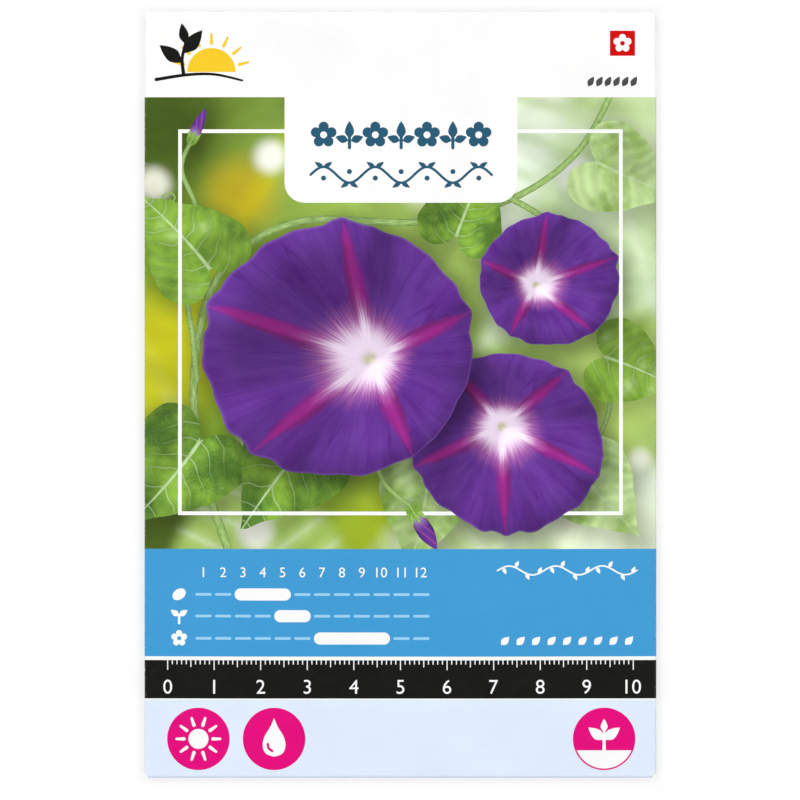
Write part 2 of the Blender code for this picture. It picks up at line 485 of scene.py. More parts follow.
def tendril(start, angle, size, turns, mirror=1):
    """A thin spiral shoot that starts straight and winds up."""
    share = np.linspace(0, 1, 46)
    heading = math.radians(angle) + mirror * TAU * turns * share**2.2
    step = size * (1 - 0.82 * share) / len(share) * 3
    line = np.cumsum(np.stack([np.cos(heading), np.sin(heading)], 1) * step[:, None], 0) + start
    shoot(line, TENDRIL_WIDTH, TENDRIL_WIDTH, TENDRIL_WIDTH * 0.6, 0.75, 0.0)


def rim(turn):
    """How far the bloom's wavy edge reaches each way: pointed at its five bands, notched beside them."""
    from_band = np.abs((turn * 5 / TAU + 0.5) % 1 - 0.5) * TAU / 5
    waves = 0.012 * np.cos(5 * turn) + 0.010 * np.sin(11 * turn + 0.6) + 0.006 * np.sin(23 * turn + 2.0)
    point = 0.022 * np.exp(-((from_band / 0.05) ** 2))
    notch = 0.016 * np.exp(-(((from_band - 0.15) / 0.05) ** 2))
    return 1 + waves + point - notch


BLOOM_STRETCH = np.array([1, 0.94])
BLOOM_POINTS = 220
# Rings of points that let the light change smoothly from the throat outwards
BLOOM_RINGS = (0.04, 0.08, 0.13, 0.19, 0.26, 0.34, 0.43, 0.53)


def bloom(centre, radius, angle, throat, tone, lean=0):
    """A funnel-shaped flower seen into its mouth. throat is how far, and where, its tube lies off centre."""
    turn = np.arange(BLOOM_POINTS) * TAU / BLOOM_POINTS
    circle = np.stack([np.cos(turn), np.sin(turn)], 1)
    shift = throat[0] * way(throat[1])
    start = math.radians(angle)

    def out(direction, ring):
        spread = shift * (1 - ring) + turned(direction, start) * ring
        return place(spread * BLOOM_STRETCH, radius, lean, centre)

    back = unplace(radius, lean, centre)

    def to_local(places):
        """Solves for the ring of the funnel that passes through each place."""
        gap = back(places) / BLOOM_STRETCH - shift
        toward = (gap * shift).sum(1)
        spare = 1 - (shift**2).sum()
        ring = (toward + np.sqrt(toward**2 + spare * (gap**2).sum(1))) / spare
        direction = turned(gap + shift * ring[:, None], -start)
        return direction / rim(np.arctan2(direction[:, 1], direction[:, 0]))[:, None]

    def light(places):
        """Light on the funnel's wall, which is steep at the throat and curls over at the rim."""
        local = to_local(places)
        ring = np.hypot(*local.T)
        around = np.arctan2(local[:, 1], local[:, 0])
        heading = around + start + math.radians(lean)
        steep = 1.5 * np.exp(-((ring / 0.24) ** 2)) + 0.30 - 0.62 * smoothstep(0.72, 1.04, ring)
        waves = 0.17 * np.sin(13 * around + 1.7) + 0.11 * np.sin(8 * around + 0.4)
        waves += 0.07 * np.sin(21 * around)
        plait = -0.26 * np.sin(5 * around) * ring + waves * smoothstep(0.35, 0.95, ring)
        out_x, out_y = np.cos(heading), np.sin(heading)
        tilt_x = -steep * out_x + plait * out_y
        tilt_y = -steep * out_y - plait * out_x
        facing = (tilt_x * SUN[0] + tilt_y * SUN[1] + SUN[2]) / np.sqrt(tilt_x**2 + tilt_y**2 + 1)
        return np.clip(facing / SUN[2], 0.64 + 0.24 * smoothstep(0.42, 0.18, ring), 1.22)

    paint(out(circle, rim(turn)[:, None]), "ink_bloom", to_local, tone, BLOOM_SHADOW, light)
    for ring in BLOOM_RINGS:
        extra_points.append(out(circle[::5], ring))


def bud(base, size, angle, tone, open_by=0.0):
    """A furled bud, twisted to a point, in its green cup."""
    side = [(0, 0), (0.10, 0.08), (0.145, 0.30), (0.13 + open_by, 0.62), (0.07 + open_by / 2, 0.86), (0, 1)]
    tilt = angle - 90
    paint(place(mirrored(side, 5), size, tilt, base), "ink_bud", unplace(size, tilt, base), tone, BUD_SHADOW)
    sepal = mirrored([(0, -0.06), (0.085, 0.08), (0.06, 0.24), (0, 0.40)], 4)
    for lean in (-24, 22, 0):
        outline = place(sepal, size, tilt + lean, base)
        paint(outline, "ink_leaf", unplace(size * 0.5, tilt + lean, base), 0.4)


FIGURE_HEIGHT = 0.69


def figure_outlines(text):
    """Outlines of some figures in Blender's own font, 1 high, from x = 0, the solid ones first."""
    curve = bpy.data.curves.new("figures", "FONT")
    curve.body = text
    thing = add_object("figures", curve)
    shapes = thing.to_curve(bpy.context.evaluated_depsgraph_get())
    found = []
    for spline in shapes.splines:
        points = spline.bezier_points
        loop = []
        for here, there in zip(points, list(points[1:]) + [points[0]]):
            loop += interpolate_bezier(here.co, here.handle_right, there.handle_left, there.co, 5)[:-1]
        found.append(np.array([(point.x, point.y) for point in loop]) / FIGURE_HEIGHT)
    thing.to_curve_clear()
    bpy.data.objects.remove(thing)
    bpy.data.curves.remove(curve)
    left = min(outline[:, 0].min() for outline in found)
    return sorted((outline - (left, 0) for outline in found), key=lambda outline: -np.ptp(outline, 0).prod())


def figures(text, x, y, height, ink, ground):
    """Plain figures centred on x, with their foot at y. The holes in them show the ground's ink again."""
    outlines = figure_outlines(text)
    width = max(outline[:, 0].max() for outline in outlines)
    for number, outline in enumerate(outlines):
        centre = outline.mean(0)[None]
        is_hole = any(inside(centre, other)[0] for other in outlines[:number])
        paint((outline - (width / 2, 0)) * height + (x, y), ground if is_hole else ink)


def add_object(name, data):
    """An object of the scene, with its data."""
    thing = bpy.data.objects.new(name, data)
    bpy.context.scene.collection.objects.link(thing)
    return thing


# The picture: three funnel flowers on a twining vine, over a soft garden

# Soft shapes behind the vine: leaf or disc, where, size, turn, colour, blur, strength
GARDEN = [
    ("disc", (-56, 62), 21, 0, "dark", 22, 0.95),
    ("disc", (-56, -36), 24, 0, "dark", 18, 0.92),
    ("disc", (-18, 64), 12, 0, "dark", 16, 0.55),
    ("disc", (-53, 8), 13, 0, "yellow", 14, 0.92),
    ("disc", (-34, 43), 7, 0, "amber", 9, 0.72),
    ("disc", (-2, -32), 12, 0, "lime", 14, 0.85),
    ("leaf", (66, 64), 70, -132, "mint", 6, 0.95),
    ("leaf", (62, -48), 54, 146, "pale", 6, 0.88),
    ("leaf", (10, 72), 46, -74, "pale", 7, 0.85),
    ("leaf", (-30, -44), 36, 96, "soft", 5, 0.85),
    ("leaf", (12, -48), 40, 70, "mint", 6, 0.80),
    ("disc", (38, 47), 3.6, 0, "white", 3.6, 0.90),
    ("disc", (-44, -20), 3.2, 0, "white", 3.2, 0.95),
    ("disc", (51.5, -14), 2.2, 0, "white", 3.0, 0.75),
    ("disc", (-28, 51), 3.2, 0, "white", 3.8, 0.92),
    ("disc", (-53, 45), 3.4, 0, "white", 3.8, 0.85),
    ("disc", (-31, -29.5), 3.6, 0, "white", 3.8, 0.85),
]
# Blurred stalks: from, to, width, colour, strength
STALKS = [
    ((-60, -6), (-14, 72), 3.6, "lime", 0.75),
    ((60, 34), (22, -40), 4.2, "leaf", 0.70),
    ((14, 70), (60, 22), 2.6, "mint", 0.65),
    ((-60, 20), (-30, -40), 2.8, "mint", 0.55),
    ((-60, -14), (-8, -40), 2.2, "dark", 0.50),
]


def garden_colour(points):
    """Colours of the blurred garden, as red, green and blue."""
    across = points @ np.array([0.90, 0.44]) / 60
    colour = np.outer(smoothstep(1.0, -0.6, across), GARDEN_GREENS["leaf"])
    colour += np.outer(smoothstep(-0.6, 1.0, across), GARDEN_GREENS["soft"])

    def blend(name, amount):
        return colour + (np.array(GARDEN_GREENS[name]) - colour) * amount[:, None]

    for start, end, width, name, strength in STALKS:
        distance = nearest_on(points, np.array([start, end], float))[0]
        colour = blend(name, strength * smoothstep(width, width * 0.2, distance))
    heart = mirrored(HEART_LEAF, 3)
    for kind, centre, size, angle, name, blur, strength in GARDEN:
        is_leaf = kind == "leaf"
        outline = place(heart, size, angle - 90, centre) if is_leaf else oval(centre, size, 24)
        cover = smoothstep(blur / 2, -blur / 2, outside_by(points, outline))
        colour = blend(name, strength * cover)
        if is_leaf:
            x, y = unplace(size, angle - 90, centre)(points).T
            x = np.abs(x)
            rank = np.abs(((y - 0.6 * x) * 5) % 1 - 0.5)
            vein = np.maximum(smoothstep(0.30, 0.5, rank), smoothstep(0.07, 0.0, x))
            colour = blend("pale", 0.30 * cover * vein)
            colour = blend("leaf", 0.34 * cover * smoothstep(0.30, 0.0, rank) * smoothstep(0.0, 0.2, x))
    return colour


PICTURE_GRID = 0.9
FRAME_HALF = 47.35
FRAME_LOW = -25.55
FRAME_HIGH = 56.5
FRAME_LINE = 0.8


def paint_picture():
    paint(rectangle(-BLEED_EDGE, BLUE_TOP, BLEED_EDGE, PICTURE_TOP), "ink_garden", garden_colour)
    columns = np.arange(-BLEED_EDGE, BLEED_EDGE, PICTURE_GRID)
    extra_points.append(grid(columns, np.arange(BLUE_TOP, PICTURE_TOP, PICTURE_GRID)))
    # The vine and its leaves
    vine = [(-36, -36), (-43, -14), (-44, 8), (-38, 27), (-22, 37), (4, 37), (24, 42), (38, 52), (46, 66)]
    stem(vine, 1.9, 1.3)
    leaf((-43, -10), 23, 236, 0.24, bend=0.12)
    leaf((42, 50), 19, -28, 0.80, bend=-0.10)
    leaf((6, -18), 19, 262, 0.72, bend=0.06)
    stem([(22, 43), (35, 34), (43, 16), (45, -2), (40, -14)], 1.4, 1.0)
    stem([(-43.7, 3), (-44.6, 12), (-46, 24), (-43.5, 38), (-47, 48), (-45.2, 54)], 1.4, 0.9)
    tendril((-45, 34), 150, 9.5, 1.15, mirror=-1)
    tendril((44, 6), 35, 8.5, 1.2)
    leaf((-41, 27), 21, 128, 0.44, bend=-0.10)
    leaf((44, 8), 17, -18, 0.50, bend=0.10)
    leaf((38, -16), 19, -52, 0.84, bend=-0.08)
    leaf((12, 34), 17, 70, 0.30, bend=0.05)
    leaf((-20, -10), 23, 230, 0.22, bend=-0.06)
    stem([(-6, -12), (-3.5, -19), (2, -24)], 1.1, 0.9)
    # The white frame line, with only the flowers over it
    half = FRAME_LINE / 2
    for side in (-FRAME_HALF, FRAME_HALF):
        paint(rectangle(side - half, FRAME_LOW - half, side + half, FRAME_HIGH + half), "paper")
    for level in (FRAME_LOW, FRAME_HIGH):
        paint(rectangle(-FRAME_HALF, level - half, FRAME_HALF, level + half), "paper")
    bud((-45.3, 53.6), 8.5, 66, 0.5)
    bud((2, -24), 11, -58, 0.6, open_by=0.03)
    bloom((32, 24.5), 15, 20, (0.22, 200), 0.75)
    bloom((23, -10.5), 20.5, 64, (0.20, 120), 0.45, lean=-12)
    bloom((-13.5, 9.5), 29, 8, (0.26, -25), 0.30, lean=8)


# The plain print round the picture


def paint_bands():
    """The white head and rules, the foot, and the black and blue bands, run on round both side folds."""
    for low, high in ((PICTURE_TOP, END), (-END, BLUE_TOP)):
        paint(rectangle(-BLEED_EDGE, low, BLEED_EDGE, high), "paper")
    for side in (-1, 1):
        paint(rectangle(side * BLEED_EDGE, -END, side * (BLEED_EDGE + TAB_WIDTH), END), "paper")
    under = -END_CREST - BOTTOM_FLAP - 1
    paint(rectangle(-BLEED_EDGE, under, BLEED_EDGE, FOOT_TOP), "ink_pale_blue")
    paint(rectangle(-BLEED_EDGE, RULE_TOP, BLEED_EDGE, BLACK_TOP), "ink_black")
    paint(rectangle(-BLEED_EDGE, LINE_TOP, BLEED_EDGE, BLUE_TOP), "ink_blue")


TAB_LEFT, TAB_RIGHT, TAB_LOW, TAB_CORNER = -24.9, 25.1, 41.1, 4.3
FRIEZE_LEFT, FRIEZE_RIGHT = -19.3, 19.6
FRIEZE_BOLD, FRIEZE_FINE = 55.7, 47.1
FRIEZE_CELLS = 7
FRIEZE_PITCH = 5.55


def floret(centre, radius, ink, ground):
    """A plain flower with five round petals, and an eye in the ground's ink."""
    turn = np.arange(60) * TAU / 60
    reach = 0.62 + 0.38 * np.abs(np.cos(2.5 * turn)) ** 0.7
    paint(place(np.stack([reach * np.cos(turn), reach * np.sin(turn)], 1), radius, 90, centre), ink)
    paint(oval(centre, radius * 0.26, 16), ground)


def leaflet(base, size, angle, ink, width):
    """A small plain leaf with a pointed tip."""
    outline = mirrored([(0, 0), (width / 2, 0.35), (width * 0.36, 0.7), (0, 1)], 4)
    paint(place(outline, size, angle - 90, base), ink)


def paint_tab():
    """A white tab hung from the picture's top edge, with a bold frieze over a fine one as its heading."""
    paint(rounded(TAB_LEFT, TAB_LOW, TAB_RIGHT, PICTURE_TOP, TAB_CORNER, (1, 1, 0, 0)), "paper")
    width = FRIEZE_RIGHT - FRIEZE_LEFT
    for cell in range(FRIEZE_CELLS):
        x = (FRIEZE_LEFT + FRIEZE_RIGHT) / 2 + (cell - FRIEZE_CELLS // 2) * FRIEZE_PITCH
        if cell % 2 == 0:
            floret((x, FRIEZE_BOLD), 2.85, "ink_teal", "paper")
            continue
        leaflet((x, FRIEZE_BOLD - 0.9), 3.9, 90, "ink_teal", 0.50)
        leaflet((x - 0.25, FRIEZE_BOLD - 1.3), 2.9, 162, "ink_teal", 0.58)
        leaflet((x + 0.25, FRIEZE_BOLD - 1.3), 2.9, 18, "ink_teal", 0.58)
        stroke([(x, FRIEZE_BOLD - 2.8), (x, FRIEZE_BOLD - 0.5)], 0.7, "ink_teal")
    share = np.linspace(0, 1, 120)
    wave = FRIEZE_FINE + 1.7 * np.sin(share * math.pi * FRIEZE_CELLS)
    stroke(np.stack([FRIEZE_LEFT + share * width, wave], 1), 0.55, "ink_teal")
    for crest in range(FRIEZE_CELLS):
        x = FRIEZE_LEFT + (crest + 0.5) * width / FRIEZE_CELLS
        side = 1 if crest % 2 == 0 else -1
        paint(oval((x, FRIEZE_FINE - side * 0.7), 0.55, 14), "ink_teal")
        for lean in (-56, 56):
            leaflet((x, FRIEZE_FINE + side * 1.5), 2.3, side * 90 + lean, "ink_teal", 0.42)


HALF_SUN = (-40.6, 69.2)
RED_SQUARE = (45.0, 72.7, 50.4, 78.1)


def paint_head():
    """The white head: a sprout and a half sun where a mark would be, and plain marks at the right."""
    paint(arc(0, 180, 30) * 5.2 + HALF_SUN, "ink_yellow")
    rays(HALF_SUN, 7, 15, 25, 6.2, 8.2, 0.75, 0.45, "ink_yellow")
    ground = [(-52.5, 67.6), (-46, 68.6), (-40, 68.7), (-34.0, 67.4)]
    stroke(smooth_line(ground, 10), 0.75, "ink_black", 0.45)
    stroke(smooth_line([(-46.6, 68.8), (-46.9, 72.0), (-46.2, 75.4)], 8), 0.8, "ink_black", 0.6)
    leaflet((-46.9, 71.2), 6.2, 142, "ink_black", 0.46)
    leaflet((-46.5, 73.2), 6.4, 52, "ink_black", 0.46)
    leaflet((-46.2, 75.2), 4.6, 100, "ink_black", 0.44)
    square = rectangle(*RED_SQUARE)
    paint(square, "ink_red")
    floret(square.mean(0), 2.0, "paper", "ink_red")
    for mark in range(6):
        leaflet((40.3 + 1.85 * mark, 66.1), 2.5, 60, "ink_grey", 0.52)


MONTHS = 12
# Which months each row of the calendar marks, first and last: sow, plant out, flower
SEASONS = ((3, 5), (5, 6), (7, 10))


def calendar(left, month_width, rows, bar, ink, faint, ground):
    """A sowing calendar: the months by number over bars for when to sow, plant out and flower."""
    for month in range(MONTHS):
        x = left + (month + 0.5) * month_width
        figures(str(month + 1), x, rows[0] - bar * 0.8, bar * 1.62, ink, ground)
        for row in rows[1:]:
            half, thin = month_width * 0.41, bar * 0.22
            paint(rounded(x - half, row - thin, x + half, row + thin, bar * 0.21), faint)
    for row, (first, last) in zip(rows[1:], SEASONS):
        x0 = left + (first - 0.92) * month_width
        x1 = left + (last - 0.08) * month_width
        paint(rounded(x0, row - bar, x1, row + bar, bar * 0.99), ink)
    x = left - bar * 2.4
    paint(oval((x, rows[1]), bar * 1.2, 24, 0.72, 35), ink)
    stroke([(x, rows[2] - bar * 1.2), (x, rows[2] + bar * 0.15)], bar * 0.4, ink)
    for angle in (35, 145):
        leaflet((x, rows[2]), bar * 1.7, angle, ink, 0.55)
    floret((x, rows[3]), bar * 1.35, ink, ground)


CALENDAR_LEFT = -44.4
MONTH_WIDTH = 4.25
# The middles of the row of numbers and of the three rows of bars
CALENDAR_ROWS = (-38.2, -42.95, -47.6, -52.4)
SCROLL_LEFT, SCROLL_RIGHT, SCROLL_HIGH, SCROLL_LOW = 20.8, 50.8, -37.8, -52.9


def paint_blue_band():
    """A sowing calendar at the left of the blue band, and two fine ornaments at its right."""
    calendar(CALENDAR_LEFT, MONTH_WIDTH, CALENDAR_ROWS, 1.3, "paper", "ink_sky", "ink_blue")
    share = np.linspace(0, 1, 80)
    width = SCROLL_RIGHT - SCROLL_LEFT
    line = np.stack([SCROLL_LEFT + share * width, SCROLL_HIGH + 0.95 * np.sin(share * TAU * 3)], 1)
    stroke(line, 0.34, "paper")
    for spot in range(12):
        leaflet(line[int((spot + 0.5) * 80 / 12)], 1.6, 62 if spot % 2 else -62, "paper", 0.5)
    for seed in range(9):
        x = SCROLL_LEFT + (seed + 0.5) * width / 9
        leaflet((x - 0.9, SCROLL_LOW - 0.9), 2.5, 45, "paper", 0.6)


RULER_FIGURES = -64.3


def paint_ruler():
    """A plain ruler on the black band, ten centimetres long."""
    for tick in range(101):
        x = tick - 50
        long = 2.1 if tick % 10 == 0 else 1.5 if tick % 5 == 0 else 0.9
        paint(rectangle(x - 0.11, BLACK_TOP - long, x + 0.11, BLACK_TOP - 0.001), "paper")
    for mark in range(11):
        figures(str(mark), mark * 10 - 50, RULER_FIGURES, 3.0, "paper", "ink_black")


DISC = 6.72
DISC_Y = -74.05


def paint_discs():
    """Three round signs in the foot: a sun, a drop of water, and a seedling in the ground."""
    sun, drop, seedling = -43.4, -27.15, 43.75
    for x in (sun, drop, seedling):
        paint(oval((x, DISC_Y), DISC, 96), "ink_magenta")
    paint(oval((sun, DISC_Y), 2.15, 40), "paper")
    rays((sun, DISC_Y), 10, 0, 36, 3.1, 4.7, 0.75, 0.5, "paper")
    water = mirrored([(0, 1), (0.16, 0.62), (0.42, 0.18), (0.5, -0.22), (0.36, -0.56), (0, -0.7)], 6)
    paint(water * 4.9 + (drop, DISC_Y - 0.4), "paper")
    glint = smooth_line([(-1.35, -1.1), (-1.15, -2.0), (-0.4, -2.6)], 6) + (drop, DISC_Y)
    stroke(glint, 0.55, "ink_magenta")
    low = math.degrees(math.asin(-2.6 / DISC))
    paint(arc(180 - low, 360 + low, 40) * (DISC - 0.35) + (seedling, DISC_Y), "paper")
    stroke([(seedling, DISC_Y - 3.0), (seedling, DISC_Y + 1.6)], 0.75, "paper", 0.55)
    for y, size, angle in ((-0.2, 4.3, 38), (-0.2, 4.3, 142), (1.4, 2.9, 90)):
        leaflet((seedling, DISC_Y + y), size, angle, "paper", 0.5)


# The guessed back of the packet. Its panels and the soil in them are set by these edges
STEP_PITCH = 34.5
STEP_HALF = 15.5
STEP_LOW, STEP_SOIL, STEP_HIGH = -16, -4, 22
BACK_MONTH_WIDTH = 7.2
BACK_ROWS = (50, 43.5, 37.5, 31.5)
NOTES_TOP = -25
NOTES_PITCH = 7.5


def draw_sowing(x):
    """A seed in the soil, with its depth beside it, under three drops of water."""
    depth = STEP_SOIL - 6.5
    top = STEP_SOIL - 0.2
    paint(oval((x, depth), 2.1, 28, 0.68, 25), "paper")
    for y in (top, depth):
        stroke([(x + 4.6, y), (x + 7.4, y)], 0.4, "paper")
    stroke([(x + 6, top), (x + 6, depth)], 0.4, "paper")
    figures("1", x + 10, depth + 1.6, 3.2, "paper", "ink_soil")
    water = mirrored([(0, 1), (0.3, 0.3), (0.36, -0.1), (0.25, -0.45), (0, -0.55)], 4)
    for drop_x, drop_y in ((-7, 7), (0, 10), (7, 7)):
        paint(water * 3.2 + (x + drop_x, drop_y), "ink_blue")


def draw_spacing(x):
    """Two seedlings, with the space between them."""
    gauge = STEP_SOIL - 3.4
    for side in (-1, 1):
        foot = x + side * 8
        stroke([(foot, STEP_SOIL - 2), (foot, STEP_SOIL + 7)], 0.7, "ink_green", 0.5)
        for lean in (30, 150):
            leaflet((foot, STEP_SOIL + 5.5), 6.2, lean, "ink_green", 0.46)
        leaflet((foot, STEP_SOIL + 6.5), 4.2, 90, "ink_green", 0.42)
        leaflet((x + side * 4.0, gauge), 2.6, 90 - side * 90, "paper", 0.6)
    stroke([(x - 4.6, gauge), (x + 4.6, gauge)], 0.4, "paper")
    figures("20", x, STEP_SOIL - 9.2, 3.2, "paper", "ink_soil")


def draw_climbing(x):
    """A stake with the vine wound round it, in flower."""
    stroke([(x, STEP_SOIL - 3), (x, STEP_HIGH - 3)], 0.9, "ink_soil")
    share = np.linspace(0, 1, 60)
    stroke(np.stack([x + 2.6 * np.sin(share * TAU * 2), STEP_SOIL + share * 20], 1), 0.6, "ink_green")
    for number, height in enumerate((2.5, 7.5, 12.5, 17.5)):
        side = 1 if number % 2 == 0 else -1
        centre = (x + side * 3.2, STEP_SOIL + height)
        paint(place(mirrored(HEART_LEAF, 3), 4.4, -90 + side * 68, centre), "ink_green")
    for flower_x, flower_y in ((-5.5, 8), (5.6, 13.5), (-2.5, 18)):
        floret((x + flower_x, STEP_SOIL + flower_y), 2.4, "ink_purple", "paper")


def paint_back():
    """The back: a sowing calendar, three steps as small pictures, ruled lines for notes, and an ornament."""
    middle = BACK_CREST + HALF_FRONT
    calendar(middle - 40, BACK_MONTH_WIDTH, BACK_ROWS, 1.7, "ink_teal", "ink_sky", "paper")
    for number, draw in enumerate((draw_sowing, draw_spacing, draw_climbing), 1):
        x = middle + (number - 2) * STEP_PITCH
        paint(rounded(x - STEP_HALF, STEP_LOW, x + STEP_HALF, STEP_HIGH, 3), "ink_pale_blue")
        paint(rounded(x - STEP_HALF, STEP_LOW, x + STEP_HALF, STEP_SOIL, 3, (1, 1, 0, 0)), "ink_soil")
        draw(x)
        corner = (x - STEP_HALF + 4, STEP_HIGH - 4)
        paint(oval(corner, 2.7, 40), "ink_magenta")
        figures(str(number), corner[0], corner[1] - 1.45, 2.9, "paper", "ink_magenta")
    for line in range(5):
        y = NOTES_TOP - NOTES_PITCH * line
        paint(rectangle(middle - 50, y, middle + 50, y + 0.25), "ink_grey")
    flap = END_CREST + TOP_FLAP / 2
    share = np.linspace(-1, 1, 160)
    stroke(np.stack([MIDDLE + share * 40, flap + 1.2 * np.sin(share * TAU * 4)], 1), 0.4, "ink_teal")
    for crest in range(-8, 8):
        side = 1 if crest % 2 == 0 else -1
        leaflet((MIDDLE + (crest + 0.5) * 5, flap + side * 1.1), 2.4, side * 90 - 40, "ink_teal", 0.45)


def print_sheet():
    for panel in PANELS:
        paint(panel.outline, "paper")
    paint_picture()
    paint_bands()
    paint_tab()
    paint_head()
    paint_blue_band()
    paint_ruler()
    paint_discs()
    paint_back()


# From the flat print to the folded sheet

FRONT_GRID = 1.3
BACK_GRID = 2.4
FOLD_STEPS = 8


def bending_points():
    """Points that let the sheet bend: a grid over each panel, and rows round each fold."""
    turn = np.arange(1, FOLD_STEPS) / FOLD_STEPS * math.pi
    short = END - END_TRIM
    rows = np.linspace(-short, short, 110)
    columns = np.linspace(LEFT + 1, RIGHT - 1, 74)
    back_rows = np.arange(-short, short, BACK_GRID)
    front_columns = np.arange(LEFT + FRONT_GRID / 2, RIGHT, FRONT_GRID)
    found = [
        grid(front_columns, np.arange(-END + FRONT_GRID / 2, END, FRONT_GRID)),
        grid(LEFT - turn * TAB_FOLD, rows),
        grid(RIGHT + turn * BACK_FOLD, rows),
        grid(TAB_CREST - np.arange(1, 5) * BACK_GRID, back_rows),
        grid(np.arange(BACK_CREST, BACK_FREE, BACK_GRID), back_rows),
    ]
    for side, depth in ((-1, BOTTOM_FLAP), (1, TOP_FLAP)):
        found.append(grid(columns, side * (END + turn * END_FOLD)))
        found.append(grid(columns[4:-4], side * (END_CREST + np.arange(0, depth, BACK_GRID))))
    return np.concatenate(found + extra_points)


@dataclass
class Sheet:
    """The triangulated print and, for each point, its place and its outward direction once folded."""

    flat: np.ndarray
    triangles: np.ndarray
    panel: np.ndarray
    top: np.ndarray
    middle: np.ndarray
    outward: np.ndarray


def triangulate():
    """Triangles of the unfolded sheet, each with its panel and the number of its topmost motif."""
    spots, loops, lines = [], [], []
    for motif in motifs:
        loops.append(list(range(len(spots), len(spots) + len(motif.outline))))
        spots.extend(map(Vector, motif.outline))
    for start, end in (
        ((SPLIT_LEFT, -END), (SPLIT_LEFT, END)),
        ((SPLIT_RIGHT, -END), (SPLIT_RIGHT, END)),
        ((LEFT, SPLIT_END), (RIGHT, SPLIT_END)),
        ((LEFT, -SPLIT_END), (RIGHT, -SPLIT_END)),
    ):
        lines.append((len(spots), len(spots) + 1))
        spots += [Vector(start), Vector(end)]
    spots.extend(map(Vector, bending_points()))
    points, _, faces, _, _, owners = delaunay_2d_cdt(spots, lines, loops, 0, 1e-5, True)
    kept = [(face, own) for face, own in zip(faces, owners) if own and min(own) < len(PANELS)]
    flat = np.array([tuple(point) for point in points])
    triangles = np.array([face for face, _ in kept])
    return flat, triangles, np.array([min(own) for _, own in kept]), np.array([max(own) for _, own in kept])


def fold_sheet():
    """Triangulates the print and folds it."""
    flat, triangles, panel, top = triangulate()
    middle = np.zeros((len(flat), 3))
    outward = np.zeros((len(flat), 3))
    step = 0.02
    for number, part in enumerate(PANELS):
        used = np.unique(triangles[panel == number])
        x, y = flat[used].T

        def fold(dx, dy):
            return np.stack(np.broadcast_arrays(*part.fold(x + dx, y + dy)), 1)

        middle[used] = fold(0, 0)
        outward[used] += unit(np.cross(fold(step, 0) - fold(-step, 0), fold(0, step) - fold(0, -step)))
    return Sheet(flat, triangles, panel, top, middle, unit(outward))


def painted_light(sheet, number, used):
    """How bright a motif is painted at its points: its own light, less the shadows thrown on it."""
    motif = motifs[number]
    points = sheet.flat[used]
    light = motif.light(points) if motif.light else np.ones(len(points))
    low, high = points.min(0) - SHADOW_BLUR * 2, points.max(0) + SHADOW_BLUR * 2
    for other in motifs[number + 1 :]:
        outline = other.outline
        if not other.shadow or (outline.max(0) < low).any() or (outline.min(0) > high).any():
            continue
        away = outside_by(points, outline + SHADOW_FALL)
        light = light * (1 - other.shadow * smoothstep(SHADOW_BLUR, -SHADOW_BLUR * 0.3, away))
    return light


SHADED = ("ink_garden", "ink_leaf", "ink_stem", "ink_bloom", "ink_bud")


def corner_art(sheet):
    """For each triangle's corners: the place in the motif with its tone, and the painted light."""
    art = np.zeros((len(sheet.triangles), 3, 3))
    light = np.ones((len(sheet.triangles), 3))
    for number in np.unique(sheet.top):
        motif = motifs[number]
        chosen = sheet.top == number
        used, back = np.unique(sheet.triangles[chosen], return_inverse=True)
        local = motif.to_local(sheet.flat[used])
        if local.shape[1] == 2:
            local = np.column_stack([local, np.full(len(local), motif.tone)])
        art[chosen] = local[back].reshape(-1, 3, 3)
        if motif.ink in SHADED:
            light[chosen] = painted_light(sheet, number, used)[back].reshape(-1, 3)
    return art, light


# Where the bake image holds the print, the inside and the cut edges: left edge, width
BAKE_PRINT = (0, 0.70)
BAKE_INSIDE = (0.71, 0.27)
BAKE_EDGES = (0.988, 0.010)


def lay_out_bake(mesh, flat, outer, inner, rim_count):
    """A map of the print and of the inside, each as they lie flat, and of a small spot for each cut edge."""
    low, high = flat.min(0), flat.max(0)
    spread = 0.004 + 0.992 * (flat - low) / (high - low)
    found = []
    for corners, (left, width) in ((outer, BAKE_PRINT), (inner, BAKE_INSIDE)):
        found.append(spread[corners].reshape(-1, 2) * (width, 1) + (left, 0))
    spot = rectangle(0, 0.1, 1, 0.9)
    for number in range(rim_count):
        found.append((spot + (0, number)) * (BAKE_EDGES[1], 1 / rim_count) + (BAKE_EDGES[0], 0))
    layer = mesh.uv_layers.new(name="OFBake")
    layer.data.foreach_set("uv", np.concatenate(found).ravel())


